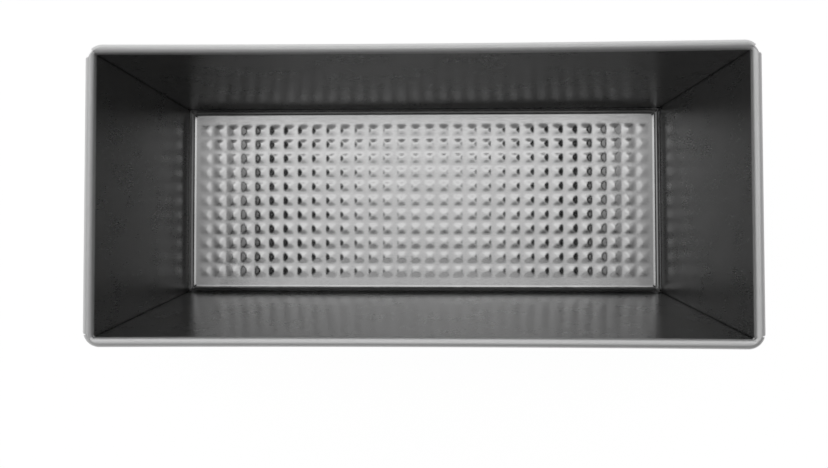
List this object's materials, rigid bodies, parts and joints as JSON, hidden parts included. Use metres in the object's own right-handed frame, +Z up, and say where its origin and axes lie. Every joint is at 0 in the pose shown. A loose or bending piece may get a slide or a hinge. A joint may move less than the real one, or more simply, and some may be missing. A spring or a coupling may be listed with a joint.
{
  "type": "loaf pan",
  "caption": "Open folded-sheet loaf pan with leaning walls, a dimpled floor and a wired rolled rim, for baking tall square loaves.",
  "frame": {"origin": "middle of the flat underside, on the surface that the pan stands on", "axes": "+Z up out of the opening, +X along the pan's length, +Y across it towards the back wall"},
  "size_m": [0.2406, 0.1086, 0.0926],
  "materials": {
    "pan_sheet": "satin grey release coating over aluminised steel",
    "rim_wire": "bright drawn steel wire"
  },
  "bodies": {
    "root": {"pan_body": "pan_sheet", "rim_wire": "rim_wire"}
  },
  "joints": []
}
